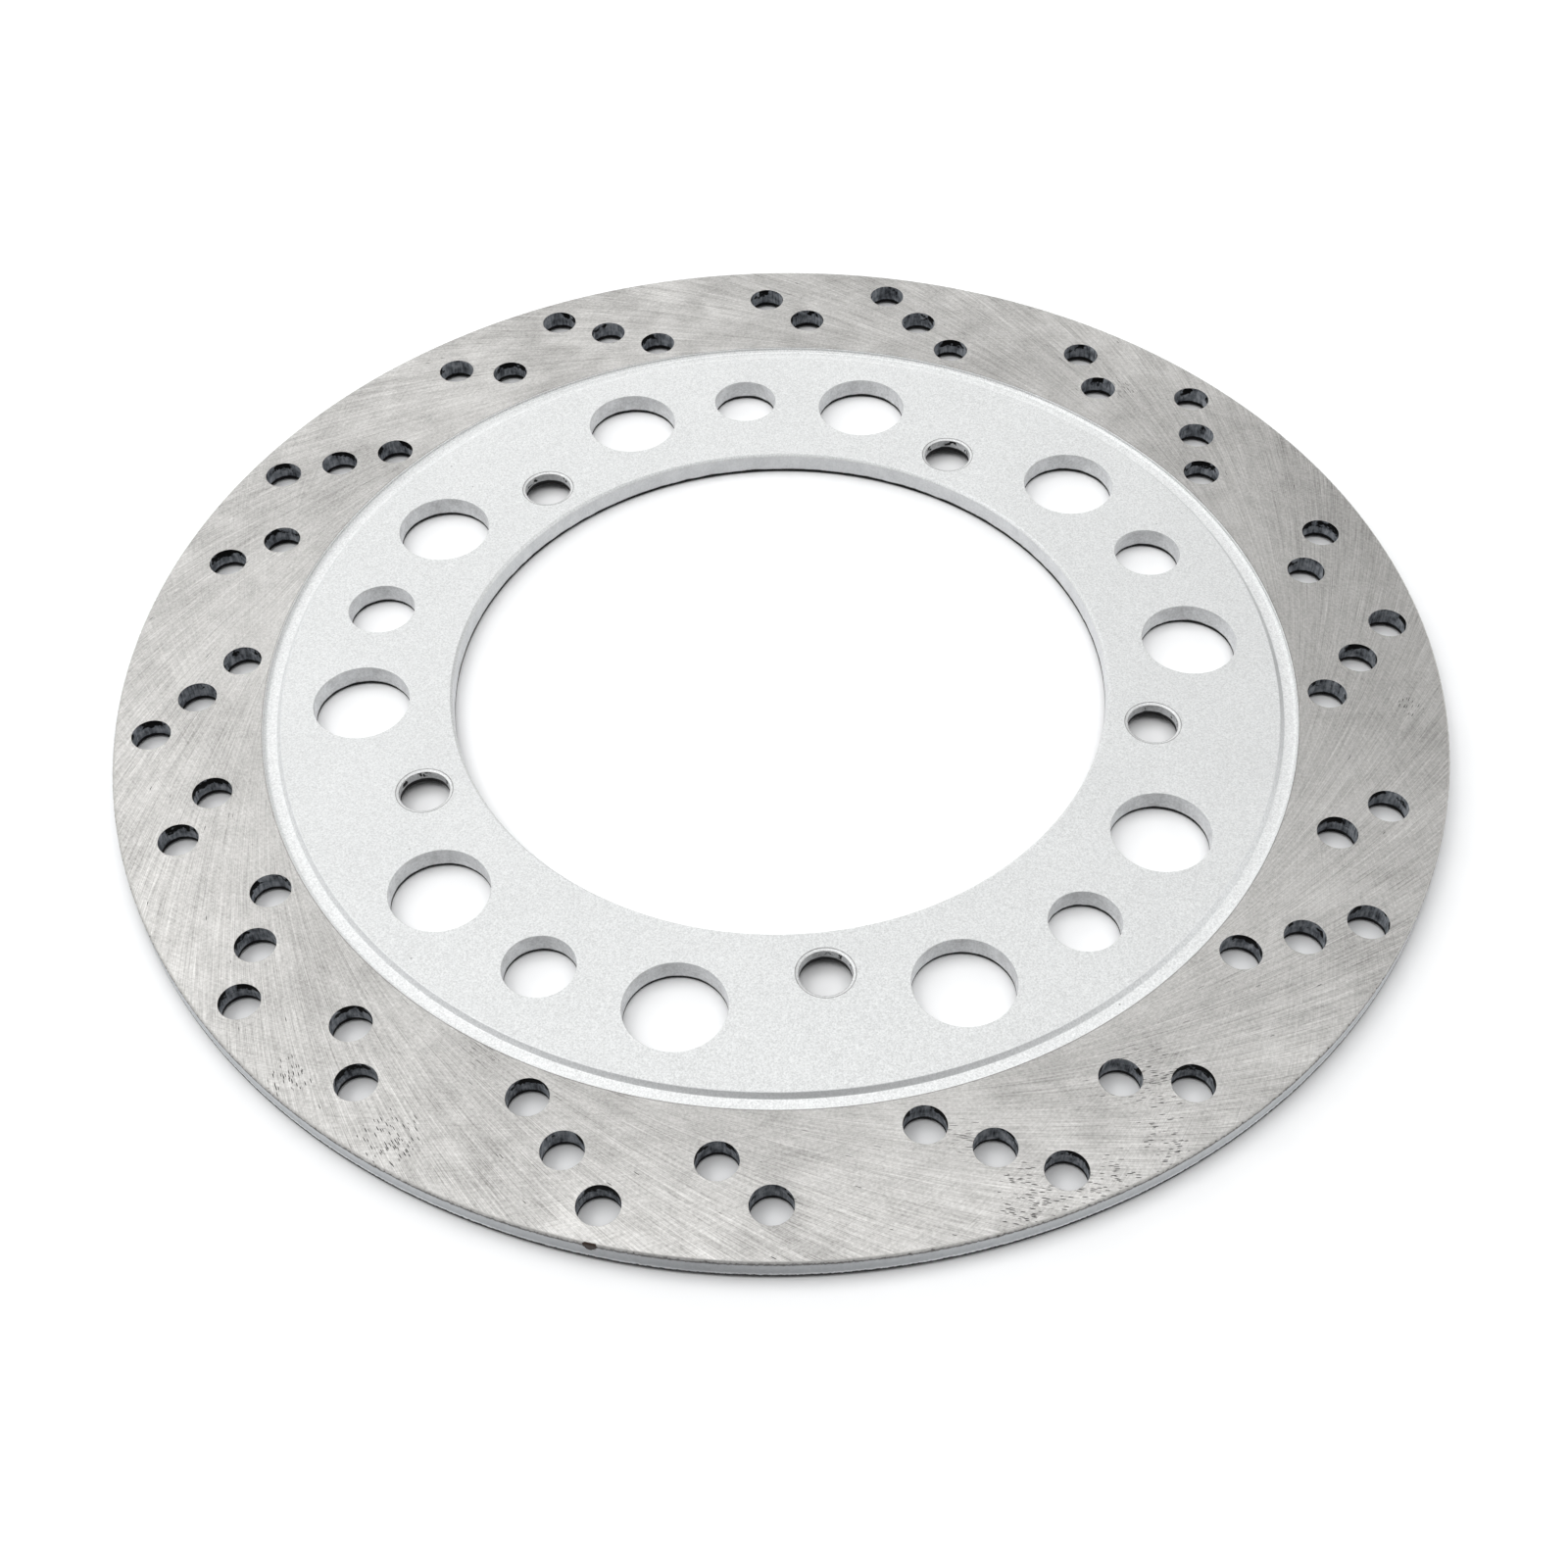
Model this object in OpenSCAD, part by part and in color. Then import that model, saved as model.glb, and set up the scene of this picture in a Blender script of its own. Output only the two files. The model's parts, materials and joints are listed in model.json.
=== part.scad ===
// One-piece brake disc rotor for a motorcycle wheel, drilled and lightened.
// Millimetres.  The disc lies flat on its wheel side: the origin is on the
// bore axis at the underside of the mounting flange, Z points away from the
// wheel and X runs through the first bolt hole.
//
// The disc is one piece of steel.  Its two nodes are its two finish zones:
//   friction_band    ground bare, swept by the pads
//   mounting_flange  painted, bolted to the hub; carries the turned groove

/* [Friction band] */

// Outside diameter of the disc
disc_diameter = 310; // [220:1:340]

// Inside diameter of the ground band, where the turned groove starts
band_inner_diameter = 241.8; // [160:0.2:280]

// Thickness of the ground band
band_thickness = 5.5; // [4:0.1:8]

// Edge break along the top of the rim
rim_top_break = 0.3; // [0.1:0.05:1]

// Edge break along the bottom of the rim
rim_bottom_break = 0.4; // [0.1:0.05:1]

/* [Band drilling] */

// Diameter of the drilled holes in the band
band_hole_diameter = 9; // [5:0.1:12]

// Spacing of the holes along one slanted row
row_pitch = 14.6; // [11:0.1:18]

// Slant of each row, measured from the radial direction
row_slant = 50.6; // [0:0.1:80]

// Radius to the middle hole of a three-hole row
long_row_radius = 136.8; // [130:0.1:145]

// Radius to the midpoint of a two-hole row
short_row_radius = 137.7; // [130:0.1:145]

// Angle from a three-hole row to the two-hole row that follows it
short_row_offset = 15.4; // [8:0.1:24]

// Number of row pairs around the band
row_pairs = 10; // [6:1:12]

// Angle from one row pair to the next; the last gap takes what is left
row_pair_step = 36.4; // [30:0.1:40]

// Angle of the first three-hole row from the X axis
first_row_angle = 227; // [0:0.5:360]

/* [Mounting flange] */

// Thickness of the painted flange
flange_thickness = 5.75; // [4:0.05:9]

// Diameter of the centre bore that sits on the hub spigot
bore_diameter = 154; // [100:0.5:180]

// Edge break around the top of the bore
bore_top_break = 0.6; // [0.1:0.05:1.5]

// Edge break around the underside of every flange hole
flange_hole_break = 0.4; // [0.1:0.05:1]

/* [Turned groove] */

// Width of the turned groove between flange and band
groove_width = 4; // [2:0.1:8]

// Depth of the turned groove below the top of the band
groove_depth = 1.2; // [0.9:0.1:3]

// How far the sloped inner side of the groove reaches across it
groove_inner_run = 1; // [0.2:0.1:1.5]

// How far the sloped foot of the outer side reaches across the groove
groove_foot_run = 0.5; // [0.1:0.1:0.8]

// Height of that sloped foot; the rest of the outer side is upright
groove_foot_height = 0.7; // [0.1:0.1:0.8]

// How far the band underside stands back from the flange underside
underside_step = 0.4; // [0:0.05:1]

/* [Bolt holes] */

// Number of bolt holes
bolt_count = 5; // [4:1:6]

// Pitch circle diameter of the bolt holes
bolt_circle_diameter = 176; // [130:0.5:220]

// Diameter of each bolt hole
bolt_hole_diameter = 11.4; // [8.5:0.1:12.5]

// Diameter of the chamfer at the top of each bolt hole
bolt_chamfer_diameter = 13; // [9:0.1:15]

// Depth of that chamfer
bolt_chamfer_depth = 0.35; // [0.1:0.05:1]

// Diameter of the spot face under each bolt hole
spot_face_diameter = 18; // [13:0.5:22]

// Depth of the spot face under each bolt hole
spot_face_depth = 2.4; // [0.2:0.1:3]

/* [Lightening holes] */

// Diameter of the large lightening holes, two beside each middle hole
large_hole_diameter = 22.4; // [12:0.1:26]

// Radius to the large lightening holes
large_hole_radius = 98.2; // [85:0.1:108]

// Angle from a middle hole to the large hole on either side
large_hole_offset = 18; // [14:0.1:22]

// Diameter of the middle lightening holes
middle_hole_diameter = 16; // [8:0.1:20]

// Radius to the middle lightening holes
middle_hole_radius = 99.2; // [85:0.1:108]

// Angle from a bolt hole to the next middle hole
middle_hole_angle = 34.9; // [30:0.1:42]

/* [Hidden] */

eps = 0.5;
round_fn = 240;
hole_fn = 64;

rim_r = disc_diameter / 2;
band_r = band_inner_diameter / 2;
band_bottom = underside_step;
band_top = underside_step + band_thickness;

groove_r = band_r - groove_width;
groove_floor = band_top - groove_depth;

bore_r = bore_diameter / 2;
bolt_step = 360 / bolt_count;

ground_steel = [0.74, 0.73, 0.71];
silver_paint = [0.86, 0.87, 0.88];

// Straight hole from z0 to z1 with its lower edge broken by b.
module drilled(d, z0, z1, b) {
    translate([0, 0, z0 - eps])
        cylinder(h = z1 - z0 + 2 * eps, d = d, $fn = hole_fn);
    translate([0, 0, z0 - eps])
        cylinder(h = b + eps, r1 = d / 2 + b + eps, r2 = d / 2, $fn = hole_fn);
}

// A row of n holes whose centre is at radius r and angle a.
module slanted_row(n, r, a) {
    rotate(a) translate([r, 0, 0]) rotate(row_slant)
        for (i = [0 : n - 1])
            translate([(i - (n - 1) / 2) * row_pitch, 0, 0])
                drilled(band_hole_diameter, band_bottom, band_top,
                        rim_bottom_break);
}

module friction_band() {
    color(ground_steel) difference() {
        rotate_extrude($fn = round_fn) polygon([
            [band_r, band_bottom],
            [rim_r - rim_bottom_break, band_bottom],
            [rim_r, band_bottom + rim_bottom_break],
            [rim_r, band_top - rim_top_break],
            [rim_r - rim_top_break, band_top],
            [band_r, band_top]
        ]);
        for (g = [0 : row_pairs - 1]) {
            a = first_row_angle + g * row_pair_step;
            slanted_row(3, long_row_radius, a);
            slanted_row(2, short_row_radius, a + short_row_offset);
        }
    }
}

// Bolt hole: through hole, chamfer on top, spot face from below.
module bolt_hole() {
    translate([0, 0, -eps])
        cylinder(h = flange_thickness + 2 * eps, d = bolt_hole_diameter,
                 $fn = hole_fn);
    translate([0, 0, flange_thickness - bolt_chamfer_depth])
        cylinder(h = bolt_chamfer_depth * 2, r1 = bolt_hole_diameter / 2,
                 r2 = bolt_chamfer_diameter - bolt_hole_diameter / 2,
                 $fn = hole_fn);
    translate([0, 0, -eps])
        cylinder(h = spot_face_depth + eps, d = spot_face_diameter,
                 $fn = hole_fn);
}

module mounting_flange() {
    color(silver_paint) difference() {
        rotate_extrude($fn = round_fn) polygon([
            [bore_r + flange_hole_break, 0],
            [groove_r - underside_step, 0],
            [groove_r, band_bottom],
            [band_r, band_bottom],
            [band_r, groove_floor + groove_foot_height],
            [band_r - groove_foot_run, groove_floor],
            [groove_r + groove_inner_run, groove_floor],
            [groove_r, flange_thickness],
            [bore_r + bore_top_break, flange_thickness],
            [bore_r, flange_thickness - bore_top_break],
            [bore_r, flange_hole_break]
        ]);
        for (k = [0 : bolt_count - 1]) rotate(k * bolt_step) {
            translate([bolt_circle_diameter / 2, 0, 0]) bolt_hole();
            rotate(middle_hole_angle) {
                translate([middle_hole_radius, 0, 0])
                    drilled(middle_hole_diameter, 0, flange_thickness,
                            flange_hole_break);
                for (s = [-1, 1]) rotate(s * large_hole_offset)
                    translate([large_hole_radius, 0, 0])
                        drilled(large_hole_diameter, 0, flange_thickness,
                                flange_hole_break);
            }
        }
    }
}

friction_band();
mounting_flange();
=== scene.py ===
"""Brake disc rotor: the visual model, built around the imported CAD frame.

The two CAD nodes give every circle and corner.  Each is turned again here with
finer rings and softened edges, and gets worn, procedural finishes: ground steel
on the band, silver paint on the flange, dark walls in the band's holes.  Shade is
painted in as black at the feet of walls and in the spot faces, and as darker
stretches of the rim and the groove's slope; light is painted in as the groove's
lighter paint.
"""

import json
import math

import bpy
import numpy as np
from mathutils import Matrix, Vector, geometry, noise


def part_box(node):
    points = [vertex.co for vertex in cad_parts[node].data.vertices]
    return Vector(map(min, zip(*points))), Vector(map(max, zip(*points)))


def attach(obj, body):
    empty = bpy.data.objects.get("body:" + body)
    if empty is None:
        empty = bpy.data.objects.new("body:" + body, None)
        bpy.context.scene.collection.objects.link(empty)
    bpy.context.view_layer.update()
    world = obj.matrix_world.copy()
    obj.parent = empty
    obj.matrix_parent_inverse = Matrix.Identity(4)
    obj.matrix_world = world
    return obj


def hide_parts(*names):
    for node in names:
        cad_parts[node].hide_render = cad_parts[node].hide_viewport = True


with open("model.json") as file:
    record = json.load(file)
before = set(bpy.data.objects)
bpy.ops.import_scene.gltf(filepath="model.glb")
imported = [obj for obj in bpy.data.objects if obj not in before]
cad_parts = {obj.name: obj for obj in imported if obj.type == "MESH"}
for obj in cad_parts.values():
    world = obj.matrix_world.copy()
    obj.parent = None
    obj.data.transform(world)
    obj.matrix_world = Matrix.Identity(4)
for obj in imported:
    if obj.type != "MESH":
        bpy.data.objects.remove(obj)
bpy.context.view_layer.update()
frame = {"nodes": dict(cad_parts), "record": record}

MM = 0.001
BAND, FLANGE = "friction_band", "mounting_flange"

# The viewer's place, in disc radii and degrees: azimuth 0 looks along +Y.
VIEW_TURN = 12.51
VIEW_ELEVATION = 46.465
VIEW_DISTANCE = 3.2925
VIEW_ROLL, VIEW_PAN, VIEW_TILT = -1.166, -0.060, 3.0355
FOCAL_PER_WIDTH = 1.3728
SENSOR_WIDTH = 36.0

# Soft square panels that face the disc: name, azimuth, elevation, side in metres
# and radiance.  Azimuth is seen from the viewer, 0 right and 90 behind the disc.
PANEL_DISTANCE = 1.6
PANELS = (
    ("overhead", 0, 89, 2.0, 1.83),
    ("left_high_panel", 180, 50, 1.1, 2.7),
    ("left_panel", 180, 25, 1.1, 0.55),
    ("right_panel", 0, 25, 1.1, 2.25),
    ("back_panel", 90, 25, 1.1, 1.5),
    ("back_left_panel", 135, 25, 1.1, 1.5),
    ("front_panel", 270, 50, 1.1, 0.4))
FLOOR_HALF = 1.5

# Segments round each kind of ring.
RIM_SEGMENTS, SEAT_SEGMENTS, BAND_HOLE_SEGMENTS = 3200, 800, 72
GROOVE_SEGMENTS, BORE_SEGMENTS, FLANGE_HOLE_SEGMENTS = 1200, 900, 120

# How far each edge is softened.
RIM_SOFT, SEAT_SOFT, BAND_HOLE_SOFT = 0.12 * MM, 0.16 * MM, 0.07 * MM
GROOVE_LIP_SOFT, GROOVE_FOOT_SOFT, GROOVE_SOFT = 0.12 * MM, 0.15 * MM, 0.5 * MM
BORE_SOFT, BOLT_SOFT, LIGHT_HOLE_SOFT = 0.10 * MM, 0.08 * MM, 0.14 * MM

# How far down from the top face the finish of the face reaches into each hole.
BAND_HOLE_LIP, BORE_LIP, LIGHT_HOLE_LIP = 0.27 * MM, 0.65 * MM, 0.12 * MM

# Nicks along the rim's top edge: the deepest bite, and how far down they reach.
NICK_DEPTH, NICK_REACH = 0.28 * MM, 0.5 * MM

# The bolt holes' worn lines and the largest radius of their spot faces.
OUTER_LINE, INNER_LINE, SPOT_REACH = 0.15 * MM, 0.14 * MM, 9.2 * MM

# The cup wheel that left the arcs, in disc radii: its radius and its distance.
WHEEL_RADIUS, WHEEL_OFFSET = 2.245, 1.477

# Clusters of pits in the band's face: degrees, radius in mm, reach in mm.
PIT_CLUSTERS = (
    (304.0, 152.5, 10), (301.0, 151.0, 10), (307.5, 152.0, 7), (314.5, 137.5, 11),
    (298.0, 132.0, 5), (312.0, 152.5, 7), (250.3, 149.5, 8), (252.0, 122.0, 6),
    (240.0, 150.0, 6), (60.0, 137.0, 5), (6.5, 146.0, 4))

# Single marks: degrees, radius in mm, height in mm, and reach.  The two slope spots and the
# rim's front spot are painted shade; the rim chip is a chip in the paint.
FRONT_SLOPE_SHADE, RIGHT_SLOPE_SHADE = ((284.5, 117.4, 5.2), 60 * MM), ((12.0, 117.4, 5.2), 45 * MM)
FRONT_RIM_SHADE = (276.0, 155.0, 3.0), 55 * MM
RIM_CHIP = (268.1, 155.0, 5.4), 2.2 * MM


# ---------------------------------------------------------------- the frame

def face_rings(node, height):
    """(x, y, radius) of each circle that bounds the node's flat face at height,
    the largest first."""
    mesh = frame["nodes"][node].data
    count = {}
    for poly in mesh.polygons:
        corners = [mesh.vertices[i].co for i in poly.vertices]
        if any(abs(c.z - height) > 0.01 * MM for c in corners):
            continue
        keys = [(round(c.x, 6), round(c.y, 6)) for c in corners]
        for a, b in zip(keys, keys[1:] + keys[:1]):
            if a != b:
                edge = frozenset((a, b))
                count[edge] = count.get(edge, 0) + 1
    links = {}
    for edge, uses in count.items():
        if uses == 1:
            a, b = tuple(edge)
            links.setdefault(a, []).append(b)
            links.setdefault(b, []).append(a)
    rings, seen = [], set()
    for start in links:
        if start in seen:
            continue
        stack, loop = [start], []
        while stack:
            key = stack.pop()
            if key in seen:
                continue
            seen.add(key)
            loop.append(key)
            stack.extend(links[key])
        # the circle that fits the loop best
        pts = np.array(loop)
        lhs = np.column_stack([2 * pts, np.ones(len(pts))])
        cx, cy, rest = np.linalg.lstsq(lhs, (pts ** 2).sum(1), rcond=None)[0]
        rings.append((cx, cy, math.sqrt(rest + cx * cx + cy * cy)))
    return sorted(rings, key=lambda ring: -ring[2])


def turned_profile(node, x, y, low, high):
    """(radius, height) corners between radii low and high about an upright axis,
    followed along the surface from its highest end to its lowest."""
    mesh = frame["nodes"][node].data
    polar = []
    for v in mesh.vertices:
        dx, dy = v.co.x - x, v.co.y - y
        r = math.hypot(dx, dy)
        polar.append((dx / max(r, 1e-9), dy / max(r, 1e-9), round(r, 5), round(v.co.z, 5)))
    links = {}
    for edge in mesh.edges:
        a, b = (polar[i] for i in edge.vertices)
        if not (low <= a[2] <= high and low <= b[2] <= high) or a[2:] == b[2:]:
            continue
        # both ends in one direction from the axis
        if abs(a[0] * b[1] - a[1] * b[0]) < 2e-4 and a[0] * b[0] + a[1] * b[1] > 0:
            links.setdefault(a[2:], set()).add(b[2:])
            links.setdefault(b[2:], set()).add(a[2:])
    # a flat ring may have no edge straight across it, so its two ends are joined
    loose = [key for key in links if len(links[key]) == 1]
    for a in loose:
        for b in loose:
            if a != b and a[1] == b[1] and a not in links[b]:
                links[a].add(b)
                links[b].add(a)
    ends = [key for key in links if len(links[key]) == 1]
    walk = [max(ends, key=lambda key: key[1])]
    while True:
        ahead = [key for key in links[walk[-1]] if key not in walk]
        if not ahead:
            return walk
        walk.append(ahead[0])


# ------------------------------------------------------------ turned surfaces

def soften(profile, side, radius, steps=3, sharp=()):
    """The profile with its corners rounded.  side is +1 when the flat faces lie
    at larger radii (a hole) and -1 when they lie inside (a rim).  radius is one
    size or one per corner; corners listed in sharp stay as they are."""
    reach = 5 * MM
    sizes = radius if isinstance(radius, list) else [radius] * len(profile)
    top = (profile[0][0] + side * reach, profile[0][1])
    bottom = (profile[-1][0] + side * reach, profile[-1][1])
    line = [Vector(p) for p in [top] + list(profile) + [bottom]]
    out = []
    for i in range(1, len(line) - 1):
        here = line[i]
        back, ahead = line[i - 1] - here, line[i + 1] - here
        room = min(sizes[i - 1], 0.45 * back.length, 0.45 * ahead.length)
        if i - 1 in sharp or back.angle(ahead, 0) > math.radians(179):
            out.append(tuple(here))
            continue
        a, b = here + back.normalized() * room, here + ahead.normalized() * room
        for k in range(steps + 1):
            t = k / steps
            p = a.lerp(here, t).lerp(here.lerp(b, t), t)
            out.append((p.x, p.y))
    return out


def with_point_at(profile, radius):
    """The profile with one more point where it crosses the radius."""
    out = []
    for p, q in zip(profile, profile[1:]):
        out.append(p)
        if min(p[0], q[0]) < radius - 1e-6 and radius + 1e-6 < max(p[0], q[0]):
            t = (radius - p[0]) / (q[0] - p[0])
            out.append((radius, p[1] + t * (q[1] - p[1])))
    return out + [profile[-1]]


def middle(p, q):
    """Radius and height halfway between two corners of a profile."""
    return (p[0] + q[0]) / 2, (p[1] + q[1]) / 2


class Builder:
    """Collects rings, walls and flat caps, then makes one closed mesh."""

    def __init__(self):
        self.verts, self.faces, self.coats, self.flat = [], [], [], []

    def ring(self, x, y, radius, z, count, wobble):
        first = len(self.verts)
        for k in range(count):
            turn = 2 * math.pi * k / count
            r = radius + (wobble(turn, z) if wobble else 0.0)
            self.verts.append((x + r * math.cos(turn), y + r * math.sin(turn), z))
        return list(range(first, first + count))

    def wall(self, x, y, profile, count, inward, coat, wobble=None):
        """Turns a profile and returns its top and bottom rings.  coat is a material
        index or a function of the two corners of each strip, and wobble a change
        of radius at a turn and a height."""
        rings = [self.ring(x, y, r, z, count, wobble) for r, z in profile]
        for i in range(len(rings) - 1):
            a, b = rings[i], rings[i + 1]
            index = coat(profile[i], profile[i + 1]) if callable(coat) else coat
            for k in range(count):
                n = (k + 1) % count
                quad = (a[k], a[n], b[n], b[k])
                self.faces.append(quad if inward else quad[::-1])
                self.coats.append(index)
                self.flat.append(False)
        return rings[0], rings[-1]

    def cap(self, rings, up, coat):
        """Fills the flat face between an outer ring and the rings inside it."""
        ids, edges = [], []
        for ring in rings:
            base = len(ids)
            ids += ring
            edges += [(base + k, base + (k + 1) % len(ring)) for k in range(len(ring))]
        flat = [Vector(self.verts[i][:2]) for i in ids]
        _, _, tris, source, *_ = geometry.delaunay_2d_cdt(flat, edges, [], 0, 1e-9)
        back = [src[0] for src in source]
        starts = np.cumsum([0] + [len(ring) for ring in rings])
        for tri in tris:
            # a triangle with all its corners on one inner ring lies in a hole
            owners = {int(np.searchsorted(starts, back[i], side="right")) for i in tri}
            if len(owners) == 1 and owners != {1}:
                continue
            corners = [ids[back[i]] for i in tri]
            a, b, c = (Vector(self.verts[i][:2]) for i in corners)
            if ((b - a).cross(c - a) > 0) != up:
                corners.reverse()
            self.faces.append(tuple(corners))
            self.coats.append(coat)
            self.flat.append(True)

    def caps(self, ends, coat):
        """Both flat faces, from each wall's (top, bottom) rings, the outermost first."""
        tops, lows = zip(*ends)
        self.cap(tops, True, coat)
        self.cap(lows, False, coat)

    def piece(self, name, node, materials):
        mesh = bpy.data.meshes.new(name)
        mesh.from_pydata(self.verts, [], self.faces)
        for material in materials:
            mesh.materials.append(material)
        mesh.polygons.foreach_set("material_index", self.coats)
        mesh.polygons.foreach_set("use_smooth", [True] * len(self.faces))
        cap_edges, wall_edges = set(), set()
        for poly in mesh.polygons:
            group = cap_edges if self.flat[poly.index] else wall_edges
            group.update(poly.edge_keys)
        border = cap_edges & wall_edges
        for edge in mesh.edges:
            edge.use_edge_sharp = edge.key in border
        mesh.update()
        obj = bpy.data.objects.new(name, mesh)
        bpy.context.scene.collection.objects.link(obj)
        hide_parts(node)
        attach(obj, "root")


# ------------------------------------------------------------------ materials

class Nodes:
    """A short way to write a material's node tree."""

    def __init__(self, name):
        self.material = bpy.data.materials.new(name)
        self.material.use_nodes = True
        self.tree = self.material.node_tree
        self.shader = self.tree.nodes["Principled BSDF"]
        self.coord = self.add("ShaderNodeTexCoord").outputs["Object"]

    def add(self, kind, inputs=(), **settings):
        node = self.tree.nodes.new(kind)
        for key, value in settings.items():
            setattr(node, key, value)
        for key, value in dict(inputs).items():
            self.feed(node.inputs[key], value)
        return node

    def feed(self, socket, value):
        if hasattr(value, "links"):
            self.tree.links.new(value, socket)
        else:
            socket.default_value = value

    def math(self, operation, a, b=0.0, clamp=False):
        node = self.add("ShaderNodeMath", {0: a, 1: b}, operation=operation, use_clamp=clamp)
        return node.outputs[0]

    def weighted(self, *parts):
        """The sum of (value, weight) pairs."""
        terms = [self.math("MULTIPLY", value, weight) for value, weight in parts]
        total = terms[0]
        for term in terms[1:]:
            total = self.math("ADD", total, term)
        return total

    def swing(self, value, amount):
        """Noise moved to lie about zero, times amount."""
        return self.math("MULTIPLY", self.math("SUBTRACT", value, 0.5), amount)

    def vector(self, x, y, z):
        return self.add("ShaderNodeCombineXYZ", {0: x, 1: y, 2: z}).outputs[0]

    def noise(self, vector, scale, detail=2.0, rough=0.5, distortion=0.0):
        node = self.add("ShaderNodeTexNoise", {
            "Vector": vector, "Scale": scale, "Detail": detail,
            "Roughness": rough, "Distortion": distortion})
        return node.outputs["Fac"]

    def cells(self, vector, scale):
        """Distance to the nearest cell's point, and that cell's own random number."""
        node = self.add("ShaderNodeTexVoronoi", {"Vector": vector, "Scale": scale},
                        feature="F1")
        chance = self.add("ShaderNodeSeparateColor", {0: node.outputs["Color"]}).outputs[0]
        return node.outputs["Distance"], chance

    def span(self, value, low, high, out_low=0.0, out_high=1.0):
        node = self.add("ShaderNodeMapRange", {
            0: value, 1: low, 2: high, 3: out_low, 4: out_high}, clamp=True)
        return node.outputs[0]

    def ramp(self, value, *stops):
        node = self.add("ShaderNodeValToRGB", {0: value})
        elements = node.color_ramp.elements
        while len(elements) < len(stops):
            elements.new(0.5)
        for element, (position, colour) in zip(elements, stops):
            element.position = position
            element.color = (*colour, 1.0)
        return node.outputs[0]

    def mix(self, factor, a, b):
        node = self.add("ShaderNodeMix", data_type="RGBA")
        self.feed(node.inputs["Factor"], factor)
        for key, value in (("A", a), ("B", b)):
            socket = [s for s in node.inputs if s.name == key and s.type == "RGBA"][0]
            self.feed(socket, value if hasattr(value, "links") else (*value, 1.0))
        return [s for s in node.outputs if s.type == "RGBA"][0]

    def bump(self, height, strength, distance):
        node = self.add("ShaderNodeBump", {
            "Strength": strength, "Distance": distance, "Height": height})
        return node.outputs[0]

    def place(self):
        """x, y and z of the shaded point, in metres from the disc's origin."""
        xyz = self.add("ShaderNodeSeparateXYZ", {0: self.coord}).outputs
        return xyz[0], xyz[1], xyz[2]

    def polar(self, x, y):
        """Radius and angle about the disc's axis."""
        radius = self.math("SQRT", self.math("ADD", self.math("MULTIPLY", x, x),
                                             self.math("MULTIPLY", y, y)))
        return radius, self.math("ARCTAN2", y, x)

    def wrapped(self, angle, size, third):
        """A place that runs seamlessly round the axis, size cells to a radian."""
        return self.vector(self.math("MULTIPLY", self.math("COSINE", angle), size),
                           self.math("MULTIPLY", self.math("SINE", angle), size), third)

    def near(self, spot, reach):
        """1 at a spot given as (degrees, radius in mm, height in mm), 0 at reach."""
        turn, r = math.radians(spot[0]), spot[1] * MM
        place = (r * math.cos(turn), r * math.sin(turn), spot[2] * MM)
        away = self.add("ShaderNodeVectorMath", {0: self.coord, 1: place},
                        operation="DISTANCE").outputs["Value"]
        return self.span(away, reach, 0.0)

    def surface(self, colour, metallic, roughness, normal, specular=0.5):
        """Feeds the shader and returns the finished material."""
        inputs = self.shader.inputs
        self.feed(inputs["Base Color"], colour)
        inputs["Metallic"].default_value = metallic
        inputs["Specular IOR Level"].default_value = specular
        self.feed(inputs["Roughness"], roughness)
        self.feed(inputs["Normal"], normal)
        return self.material


def arc_lead(n, r, wheel, offset):
    """Angle that a grinding arc has turned by the time it reaches radius r."""
    cosine = n.math("DIVIDE",
                    n.math("ADD", n.math("MULTIPLY", r, r), offset ** 2 - wheel ** 2),
                    n.math("MULTIPLY", r, 2 * offset))
    return n.math("ARCCOSINE", n.math("MINIMUM", 1.0, n.math("MAXIMUM", -1.0, cosine)))


def arc_grain(n, x, y, r, wheel, offset):
    """Direction of the grinding arc through each point."""
    cosine = n.math("DIVIDE",
                    n.math("ADD", n.math("MULTIPLY", r, r), wheel ** 2 - offset ** 2),
                    n.math("MULTIPLY", r, 2 * wheel))
    sine = n.math("SQRT", n.math("MAXIMUM", 0.0, n.math(
        "SUBTRACT", 1.0, n.math("MULTIPLY", cosine, cosine))))
    out_x, out_y = n.math("DIVIDE", x, r), n.math("DIVIDE", y, r)
    return n.vector(
        n.math("SUBTRACT", n.math("MULTIPLY", out_x, sine), n.math("MULTIPLY", out_y, cosine)),
        n.math("ADD", n.math("MULTIPLY", out_x, cosine), n.math("MULTIPLY", out_y, sine)),
        0.0)


def pit_mask(n, combed_place, top):
    """1 in each pit: most of them in clusters, and a few anywhere."""
    distance, chance = n.cells(combed_place, 1.0)
    clusters = 0.0
    for turn, radius, reach in PIT_CLUSTERS:
        clusters = n.math("MAXIMUM", clusters, n.near((turn, radius, top / MM), reach * MM))
    crowd = n.math("ADD", n.math("MULTIPLY", clusters, 0.95), 0.0035)
    return n.math("MULTIPLY", n.span(distance, 0.36, 0.26), n.math("LESS_THAN", chance, crowd))


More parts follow.
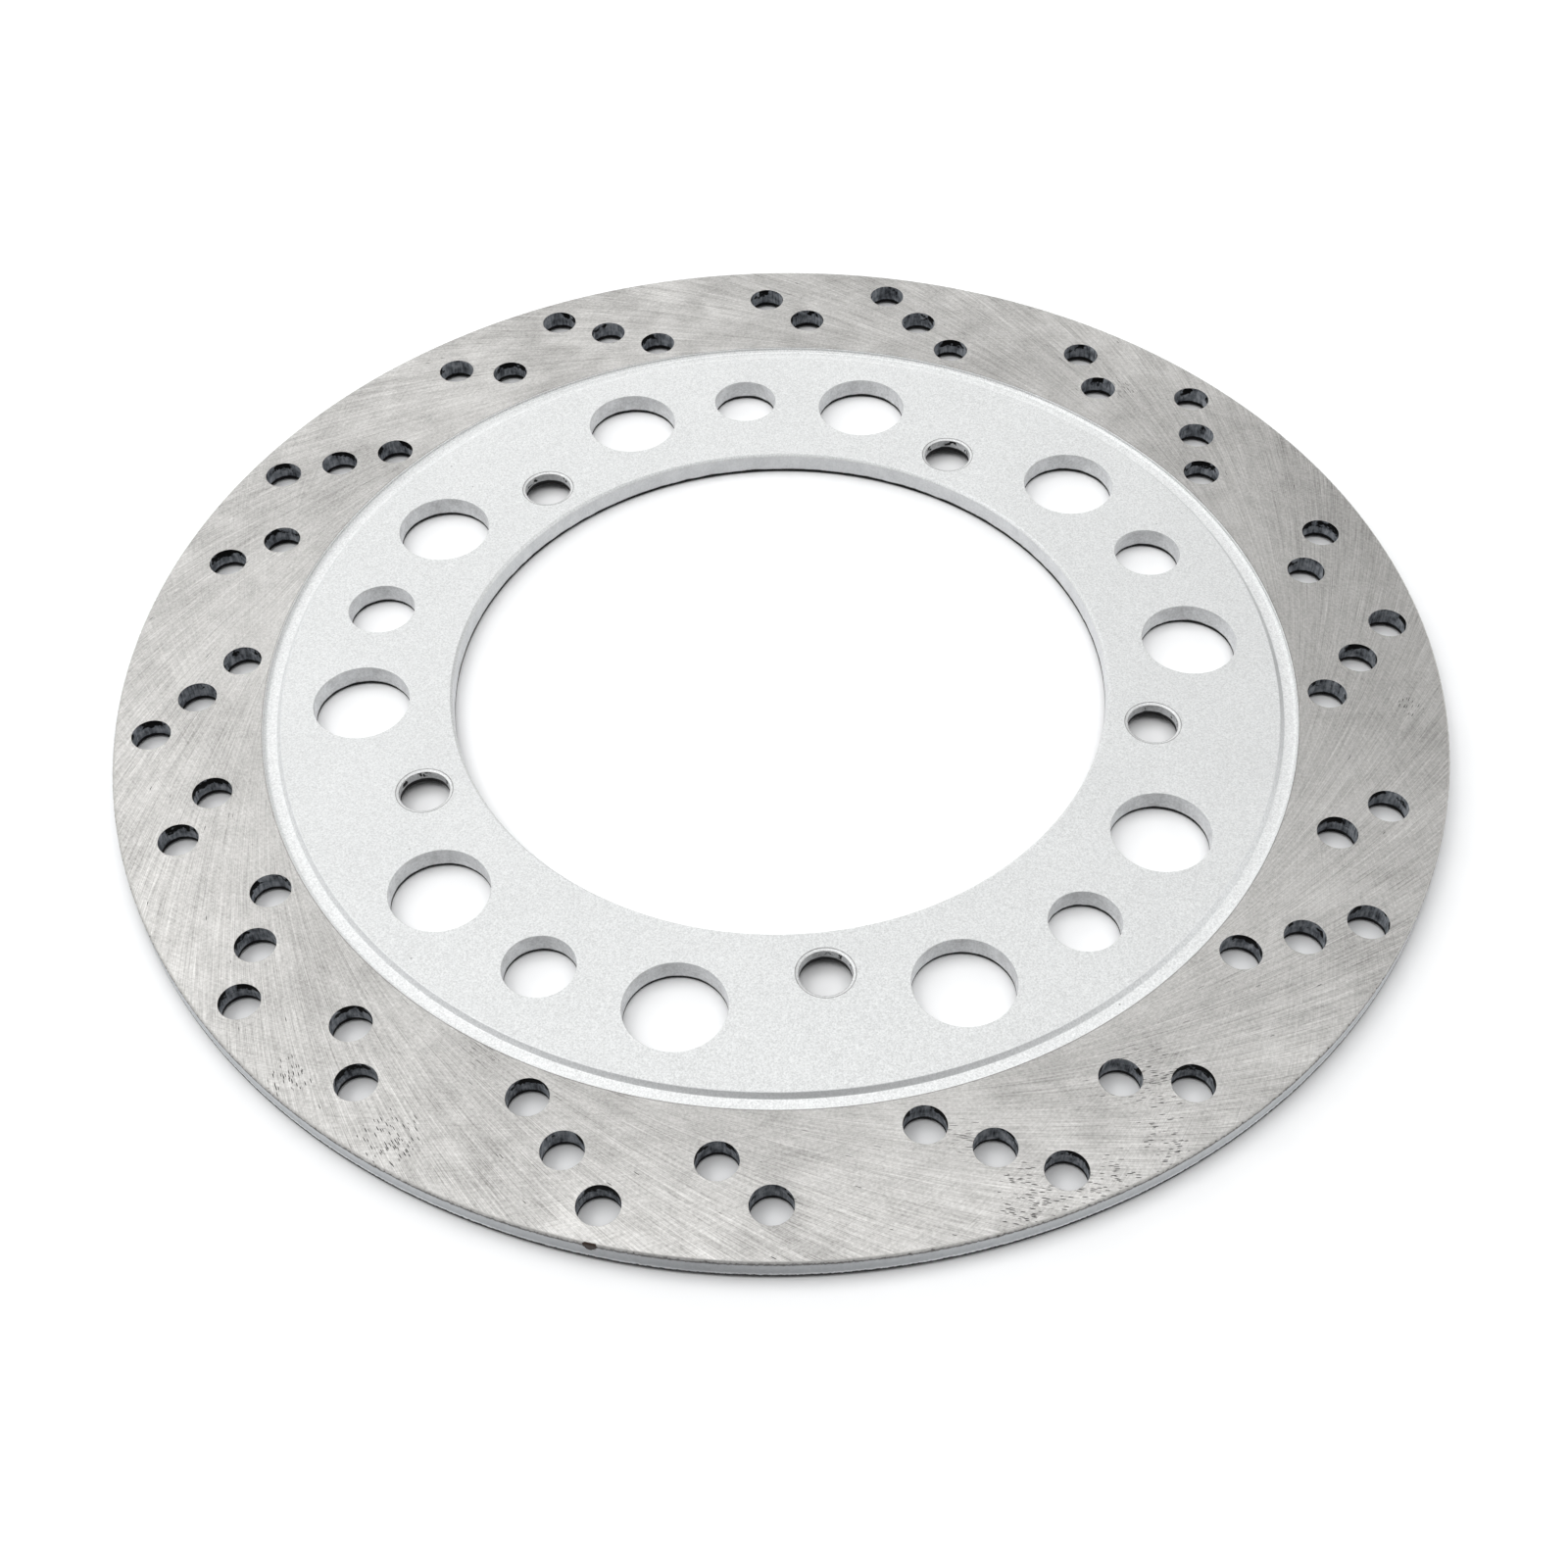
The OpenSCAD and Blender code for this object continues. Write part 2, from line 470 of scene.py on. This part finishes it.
def ground_steel(disc_radius, inner_radius, top):
    """Bare steel with the crossed arcs that a cup wheel leaves."""
    n = Nodes("ground_steel")
    x, y, _ = n.place()
    r, angle = n.polar(x, y)
    wheel, offset = WHEEL_RADIUS * disc_radius, WHEEL_OFFSET * disc_radius
    lead = arc_lead(n, r, wheel, offset)

    def combed(sign, across, along):
        """A place with the arcs combed straight: cells per radian and per metre."""
        turn = n.math("ADD", angle, n.math("MULTIPLY", lead, sign))
        return n.wrapped(turn, across, n.math("MULTIPLY", r, along))

    def arcs(sign, across, along, detail=2.0):
        return n.noise(combed(sign, across, along), 1.0, detail, 0.6)

    blotch = n.noise(n.coord, 95.0, 4.0, 0.6, 0.5)
    dust = n.noise(n.coord, 1500.0, 2.0, 0.6)
    streak = n.weighted((arcs(1.0, 820.0, 230.0), 0.46), (arcs(1.0, 260.0, 90.0), 0.14),
                        (arcs(-1.0, 620.0, 240.0), 0.20), (dust, 0.20))
    cloud = n.weighted((arcs(1.0, 46.0, 40.0, 3.0), 0.30), (blotch, 0.40),
                       (n.noise(n.coord, 22.0), 0.30))
    tone = n.weighted((streak, 0.70), (cloud, 0.30))
    colour = n.ramp(tone, (0.395, (0.235, 0.23, 0.22)), (0.5, (0.475, 0.468, 0.455)),
                    (0.605, (0.715, 0.707, 0.69)))
    pits = pit_mask(n, combed(1.0, 250.0, 1050.0), top)
    colour = n.mix(n.math("MULTIPLY", pits, 0.95), colour, (0.015, 0.013, 0.012))
    # a thin dark line at the inner edge, and a broken one at the outer
    inside = n.span(r, inner_radius + 0.45 * MM, inner_radius + 0.25 * MM)
    outside = n.span(n.math("ADD", r, n.swing(dust, 1.1 * MM)),
                     disc_radius - 0.3 * MM, disc_radius)
    colour = n.mix(n.weighted((inside, 0.55), (outside, 0.25)), colour, (0.10, 0.095, 0.09))
    n.shader.inputs["Anisotropic"].default_value = 0.7
    n.feed(n.shader.inputs["Tangent"], arc_grain(n, x, y, r, wheel, offset))
    roughness = n.span(n.weighted((streak, 0.6), (blotch, 0.4)), 0.35, 0.65, 0.47, 0.33)
    height = n.math("SUBTRACT", streak, n.math("MULTIPLY", pits, 2.0))
    return n.surface(colour, 1.0, roughness, n.bump(height, 0.45, 0.06 * MM))


def silver_paint(name, tint):
    """Satin silver paint with a fine metallic grain and rare dark dots."""
    n = Nodes(name)
    grain = 0.17
    flakes = n.noise(n.coord, 2870.0, 1.0, 0.6)
    clumps = n.noise(n.coord, 1650.0, 2.0, 0.6)
    cloud = n.noise(n.coord, 45.0, 3.0)
    tone = n.weighted((flakes, 0.70), (clumps, 0.22), (cloud, 0.08))
    colour = n.ramp(tone, (0.34, tuple((1 - grain) * c for c in tint)),
                    (0.66, tuple((1 + grain) * c for c in tint)))
    distance, chance = n.cells(n.coord, 520.0)
    dots = n.math("MULTIPLY", n.span(distance, 0.16, 0.08), n.math("LESS_THAN", chance, 0.006))
    colour = n.mix(n.math("MULTIPLY", dots, 0.6), colour, (0.08, 0.08, 0.08))
    height = n.math("ADD", flakes, n.math("MULTIPLY", clumps, 0.8))
    return n.surface(colour, 0.3, n.span(flakes, 0.3, 0.7, 0.54, 0.38),
                     n.bump(height, 0.25, 0.04 * MM))


def slope_paint():
    """Paint of the groove's inner slope, with painted shade darkening two stretches."""
    n = Nodes("slope_paint")
    flakes = n.noise(n.coord, 2300.0, 2.0, 0.6)
    colour = n.ramp(flakes, (0.34, (0.56, 0.57, 0.575)), (0.66, (0.74, 0.75, 0.755)))
    # painted shade: the slope is darkened at a front and a right spot, where it faces away
    # from the light
    slope_shade = n.math("MAXIMUM", n.near(*FRONT_SLOPE_SHADE), n.near(*RIGHT_SLOPE_SHADE))
    colour = n.mix(n.math("MULTIPLY", slope_shade, 0.50, clamp=True), colour, (0.22, 0.225, 0.23))
    return n.surface(colour, 0.3, n.span(flakes, 0.3, 0.7, 0.56, 0.42),
                     n.bump(flakes, 0.25, 0.04 * MM))


def rim_paint(low, top):
    """The rim: thin paint over turning marks, in bands lighter and darker by height,
    worn through to dark steel along its top edge, with painted shade: black at its
    foot and a darker stretch at the front."""
    n = Nodes("rim_paint")
    x, y, z = n.place()
    angle = n.polar(x, y)[1]
    mottled = n.noise(n.wrapped(angle, 90.0, n.math("MULTIPLY", z, 700.0)), 1.0, 3.0, 0.6)
    fine = n.noise(n.coord, 1500.0)
    depth = n.span(n.math("ADD", z, n.swing(fine, 0.9 * MM)), top, low)
    # bands lighter and darker by height; the black from 0.805 down is painted shade at the
    # foot
    colour = n.ramp(depth, (0.0, (0.42, 0.41, 0.39)), (0.05, (0.36, 0.35, 0.33)),
                    (0.08, (0.07, 0.062, 0.055)), (0.14, (0.09, 0.085, 0.08)),
                    (0.20, (0.57, 0.59, 0.61)), (0.58, (0.46, 0.48, 0.50)),
                    (0.69, (0.52, 0.54, 0.56)), (0.73, (0.82, 0.84, 0.86)),
                    (0.785, (0.80, 0.82, 0.84)), (0.805, (0.002, 0.002, 0.002)))
    shade = n.span(n.weighted((mottled, 0.6), (fine, 0.4)), 0.35, 0.65)
    above_foot = n.span(depth, 0.81, 0.78)
    colour = n.mix(n.math("MULTIPLY", n.math("MULTIPLY", shade, above_foot), 0.25),
                   colour, (0.75, 0.76, 0.77))
    # painted shade: the rim is darkened towards its front, which faces away from the lamps
    rim_front_shade = n.near(*FRONT_RIM_SHADE)
    colour = n.mix(n.math("MULTIPLY", rim_front_shade, 0.40), colour, (0.10, 0.10, 0.105))
    chip = n.math("GREATER_THAN", n.math("ADD", n.near(*RIM_CHIP), n.swing(fine, 0.8)), 0.35)
    colour = n.mix(chip, colour, (0.035, 0.022, 0.016))
    return n.surface(colour, 0.0, n.span(mottled, 0.3, 0.7, 0.6, 0.42),
                     n.bump(shade, 0.2, 0.04 * MM), specular=0.25)


def dark_wall():
    """Hole walls of the band: unground, blotchy, sooty near the top, and black at the
    foot as painted shade."""
    n = Nodes("dark_wall")
    x, y, z = n.place()
    lines = n.noise(n.vector(n.math("MULTIPLY", x, 1800.0), n.math("MULTIPLY", y, 1800.0),
                             n.math("MULTIPLY", z, 260.0)), 1.0, 3.0, 0.65)
    blotch = n.noise(n.coord, 420.0, 3.0, 0.6)
    tone = n.weighted((lines, 0.45), (blotch, 0.55))
    colour = n.ramp(tone, (0.36, (0.03, 0.033, 0.04)), (0.5, (0.18, 0.195, 0.215)),
                    (0.64, (0.38, 0.40, 0.43)))
    soot = n.noise(n.coord, 170.0, 3.0, 0.6)
    ragged = n.noise(n.coord, 900.0, 3.0, 0.6)
    high = n.span(n.math("ADD", z, n.swing(ragged, 4 * MM)), 3.8 * MM, 4.2 * MM)
    colour = n.mix(n.math("MULTIPLY", high, n.span(soot, 0.50, 0.53)),
                   colour, (0.002, 0.002, 0.002))
    # painted shade: the lowest part of the wall is made black, where shade falls at its foot
    foot = n.span(n.math("ADD", z, n.swing(blotch, 0.6 * MM)), 1.75 * MM, 1.6 * MM)
    colour = n.mix(foot, colour, (0.001, 0.001, 0.001))
    return n.surface(colour, 0.0, n.span(blotch, 0.3, 0.7, 0.75, 0.55),
                     n.bump(tone, 0.5, 0.08 * MM), specular=0.12)


def hole_paint(name, light, dark, marks=0.0, black_below=0.0):
    """Silver paint inside the flange's holes, thinner and speckled; marks is how
    much of it has chipped to black, black_below the height of its dark lower edge,
    which is painted shade."""
    n = Nodes(name)
    z = n.place()[2]
    speck = n.noise(n.coord, 1700.0, 3.0, 0.7)
    blotch = n.noise(n.coord, 300.0)
    tone = n.weighted((speck, 0.6), (blotch, 0.4))
    colour = n.ramp(tone, (0.32, dark), (0.62, light))
    if marks:
        chipped = n.span(n.noise(n.coord, 430.0, 3.0, 0.6), 1.0 - marks, 1.03 - marks)
        high = n.span(z, 3.6 * MM, 4.1 * MM)
        colour = n.mix(n.math("MULTIPLY", chipped, high), colour, (0.01, 0.01, 0.01))
    # painted shade: the wall is made black below the given height, where shade falls at its
    # foot
    foot = n.span(n.math("ADD", z, n.swing(blotch, 0.6 * MM)),
                  black_below + 0.1 * MM, black_below - 0.1 * MM)
    colour = n.mix(foot, colour, (0.003, 0.003, 0.003))
    return n.surface(colour, 0.0, n.span(speck, 0.3, 0.7, 0.7, 0.5),
                     n.bump(tone, 0.35, 0.05 * MM), specular=0.2)


# ----------------------------------------------------------- the friction band

# Material indices of the band.
STEEL, RIM, HOLE_WALL, SEAT = range(4)


def ripple(turn, seed, rate):
    """Noise about zero that closes on itself round a circle."""
    return noise.noise(Vector((rate * math.cos(turn), rate * math.sin(turn), seed)))


def add_rim(b, outer, high):
    """The outer wall, with small bites out of its top edge."""
    def nicked(turn, z):
        if z < high.z - NICK_REACH:
            return 0.0
        broad, fine = ripple(turn, 3.0, 260.0) - 0.18, ripple(turn, 9.0, 700.0) - 0.25
        return -NICK_DEPTH * (max(0.0, broad) + max(0.0, fine))

    rim = soften(turned_profile(BAND, 0, 0, outer - MM, high.x + MM), -1, RIM_SOFT)
    return b.wall(0, 0, rim, RIM_SEGMENTS, False, RIM, nicked)


def add_seat(b, inner):
    """The wall towards the flange; it keeps the corner where the two meet."""
    seat = soften(turned_profile(BAND, 0, 0, inner - MM, inner + MM), 1, SEAT_SOFT, sharp=(1,))
    return b.wall(0, 0, seat, SEAT_SEGMENTS, True, SEAT)


def add_band_hole(b, x, y, r, top):
    """A drilled hole: the ground edge break, then the dark wall."""
    def coat(p, q):
        return STEEL if middle(p, q)[1] > top - BAND_HOLE_LIP else HOLE_WALL

    edge = soften(turned_profile(BAND, x, y, 0, r + MM), 1, BAND_HOLE_SOFT)
    return b.wall(x, y, edge, BAND_HOLE_SEGMENTS, True, coat)


def friction_band():
    low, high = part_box(BAND)
    rings = face_rings(BAND, high.z)
    outer, inner, holes = rings[0][2], rings[1][2], rings[2:]
    b = Builder()
    ends = [add_rim(b, outer, high), add_seat(b, inner)]
    ends += [add_band_hole(b, x, y, r, high.z) for x, y, r in holes]
    b.caps(ends, STEEL)
    b.piece("band", BAND, [
        ground_steel(outer, inner, high.z), rim_paint(low.z, high.z), dark_wall(),
        silver_paint("groove_wall_paint", (0.67, 0.68, 0.68))])


# --------------------------------------------------------- the mounting flange

# Material indices of the flange.
PAINT, LIGHT_HOLE, BOLT_WALL, SPOT, GROOVE, BORE, WORN, SLOPE = range(8)


def add_groove(b, face_radius, seam_radius):
    """The groove's slope and floor, out to the seam with the band."""
    edge = turned_profile(FLANGE, 0, 0, face_radius - 0.6 * MM, seam_radius + MM)
    foot_radius, foot_height = edge[1]
    seam = [i for i, corner in enumerate(edge) if corner[0] > seam_radius - 0.01 * MM]
    sizes = [GROOVE_LIP_SOFT, GROOVE_FOOT_SOFT] + [GROOVE_SOFT] * (len(edge) - 2)

    def coat(p, q):
        radius, height = middle(p, q)
        return SLOPE if radius < foot_radius and height > foot_height + 0.03 * MM else GROOVE

    return b.wall(0, 0, soften(edge, -1, sizes, 4, sharp=seam), GROOVE_SEGMENTS, False, coat)


def add_bore(b, bore, top):
    """The bore's wall; its edge break is painted like the face."""
    def coat(p, q):
        return PAINT if q[1] > top - BORE_LIP else BORE

    wall = soften(turned_profile(FLANGE, 0, 0, 0, bore + 0.01 * MM), 1, BORE_SOFT)
    return b.wall(0, 0, wall, BORE_SEGMENTS, True, coat)


def add_bolt_hole(b, x, y, r, bolt_r):
    """Chamfer, wall and spot face, with a worn line along both edges of the
    chamfer."""
    profile = turned_profile(FLANGE, x, y, 0, SPOT_REACH)
    shelf = profile[2][1]
    line_out, line_in = r - OUTER_LINE, bolt_r + INNER_LINE
    walls = soften(profile, 1, BOLT_SOFT)
    walls = with_point_at(with_point_at(walls, line_out), line_in)

    def coat(p, q):
        radius, height = middle(p, q)
        # the spot face takes the near-black material, painted shade
        if height < shelf + 0.05 * MM:
            return SPOT
        if radius > line_out or line_in > radius > bolt_r + 0.02 * MM:
            return WORN
        return PAINT if radius > line_in else BOLT_WALL

    return b.wall(x, y, walls, FLANGE_HOLE_SEGMENTS, True, coat)


def add_light_hole(b, x, y, r, top):
    """A plain hole that only takes weight out."""
    def coat(p, q):
        return LIGHT_HOLE if middle(p, q)[1] < top - LIGHT_HOLE_LIP else PAINT

    walls = soften(turned_profile(FLANGE, x, y, 0, r + 0.6 * MM), 1, LIGHT_HOLE_SOFT)
    return b.wall(x, y, walls, FLANGE_HOLE_SEGMENTS, True, coat)


def mounting_flange():
    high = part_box(FLANGE)[1]
    rings = face_rings(FLANGE, high.z)
    outer, bore, holes = rings[0][2], rings[1][2], rings[2:]
    bolts = next(m for m in frame["record"]["mounts"] if m["name"] == "hub_bolts")["dims"]
    bolt_ring, bolt_r = bolts["pcd_mm"] * MM / 2, bolts["hole_r_mm"] * MM
    b = Builder()
    ends = [add_groove(b, outer, high.x), add_bore(b, bore, high.z)]
    for x, y, r in holes:
        if abs(math.hypot(x, y) - bolt_ring) < 2 * MM:
            ends.append(add_bolt_hole(b, x, y, r, bolt_r))
        else:
            ends.append(add_light_hole(b, x, y, r, high.z))
    b.caps(ends, PAINT)
    b.piece("flange", FLANGE, [
        silver_paint("flange_paint", (0.635, 0.645, 0.645)),
        # each wall's black lower edge is painted shade
        hole_paint("hole_paint", (0.74, 0.75, 0.76), (0.46, 0.465, 0.47),
                   black_below=1.1 * MM),
        hole_paint("bolt_wall_paint", (0.66, 0.67, 0.68), (0.36, 0.365, 0.37),
                   marks=0.42, black_below=3.5 * MM),
        # painted shade: the spot faces are near black to stand for the shade under the flange
        hole_paint("spot_face_shade", (0.012, 0.012, 0.012), (0.006, 0.006, 0.006)),
        # painted light: the groove's floor is a lighter copy of the face paint
        silver_paint("groove_lit_paint", (0.70, 0.71, 0.71)),
        hole_paint("bore_paint", (0.73, 0.74, 0.75), (0.57, 0.58, 0.59),
                   black_below=1.1 * MM),
        hole_paint("worn_edge", (0.40, 0.40, 0.40), (0.16, 0.16, 0.16)),
        slope_paint()])


# ---------------------------------------------------------------------- stage

def place_camera(disc_radius, top):
    """The camera, at the photograph's viewing angle."""
    def about(axis, degrees):
        return Matrix.Rotation(math.radians(degrees), 3, axis)

    # looking at the disc's centre from -Y, then rolled, tilted and panned
    lift = math.radians(VIEW_ELEVATION)
    eye = Vector((0, -math.cos(lift), math.sin(lift))) * VIEW_DISTANCE * disc_radius
    ahead = -eye.normalized()
    right = Vector((1, 0, 0))
    up = right.cross(ahead)
    rows = Matrix((right, -up, ahead))
    rows = about("Z", VIEW_ROLL) @ about("X", VIEW_TILT) @ about("Y", VIEW_PAN) @ rows
    turn = about("Z", VIEW_TURN)
    axes = Matrix((turn @ rows[0], -(turn @ rows[1]), -(turn @ rows[2]))).transposed()
    camera = bpy.data.cameras.new("camera")
    camera.sensor_width = SENSOR_WIDTH
    camera.lens = SENSOR_WIDTH * FOCAL_PER_WIDTH
    camera.clip_start = 0.01
    obj = bpy.data.objects.new("camera", camera)
    obj.matrix_world = Matrix.Translation(turn @ eye + Vector((0, 0, top))) @ axes.to_4x4()
    bpy.context.scene.collection.objects.link(obj)
    bpy.context.scene.camera = obj


def area_light(name, azimuth, elevation, side, radiance):
    """A soft square panel that faces the disc."""
    a, e = math.radians(azimuth + VIEW_TURN), math.radians(elevation)
    light = bpy.data.lights.new(name, "AREA")
    light.shape = "SQUARE"
    light.size = side
    light.energy = radiance * math.pi * side * side
    obj = bpy.data.objects.new(name, light)
    place = Vector((math.cos(a) * math.cos(e), math.sin(a) * math.cos(e), math.sin(e)))
    obj.location = place * PANEL_DISTANCE
    obj.rotation_euler = (-place).to_track_quat("-Z", "Y").to_euler()
    bpy.context.scene.collection.objects.link(obj)


def backdrop():
    """A dim room round the lights, with a white wall where the view meets it."""
    world = bpy.data.worlds.new("studio")
    world.use_nodes = True
    nodes, links = world.node_tree.nodes, world.node_tree.links
    room = nodes["Background"]
    room.inputs["Color"].default_value = (0.98, 0.99, 1.0, 1.0)
    room.inputs["Strength"].default_value = 0.03
    wall = nodes.new("ShaderNodeBackground")
    wall.inputs["Color"].default_value = (1.0, 1.0, 1.0, 1.0)
    wall.inputs["Strength"].default_value = 1.0
    seen = nodes.new("ShaderNodeLightPath").outputs["Is Camera Ray"]
    mix = nodes.new("ShaderNodeMixShader")
    links.new(seen, mix.inputs[0])
    links.new(room.outputs[0], mix.inputs[1])
    links.new(wall.outputs[0], mix.inputs[2])
    links.new(mix.outputs[0], nodes["World Output"].inputs["Surface"])
    bpy.context.scene.world = world


def paper_floor():
    """The plain pale sheet that the disc lies on."""
    h = FLOOR_HALF
    floor = bpy.data.meshes.new("floor")
    floor.from_pydata([(-h, -h, 0), (h, -h, 0), (h, h, 0), (-h, h, 0)], [], [(0, 1, 2, 3)])
    n = Nodes("floor")
    paper = n.noise(n.coord, 60.0)
    n.feed(n.shader.inputs["Base Color"], n.ramp(
        paper, (0.3, (0.87, 0.875, 0.88)), (0.7, (0.89, 0.895, 0.90))))
    n.shader.inputs["Roughness"].default_value = 0.9
    floor.materials.append(n.material)
    obj = bpy.data.objects.new("floor", floor)
    bpy.context.scene.collection.objects.link(obj)


def stage():
    paper_floor()
    backdrop()
    for panel in PANELS:
        area_light(*panel)
    view = bpy.context.scene.view_settings
    view.view_transform = "Standard"
    view.look = "None"


friction_band()
mounting_flange()
band_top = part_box(BAND)[1].z
place_camera(face_rings(BAND, band_top)[0][2], band_top)
stage()
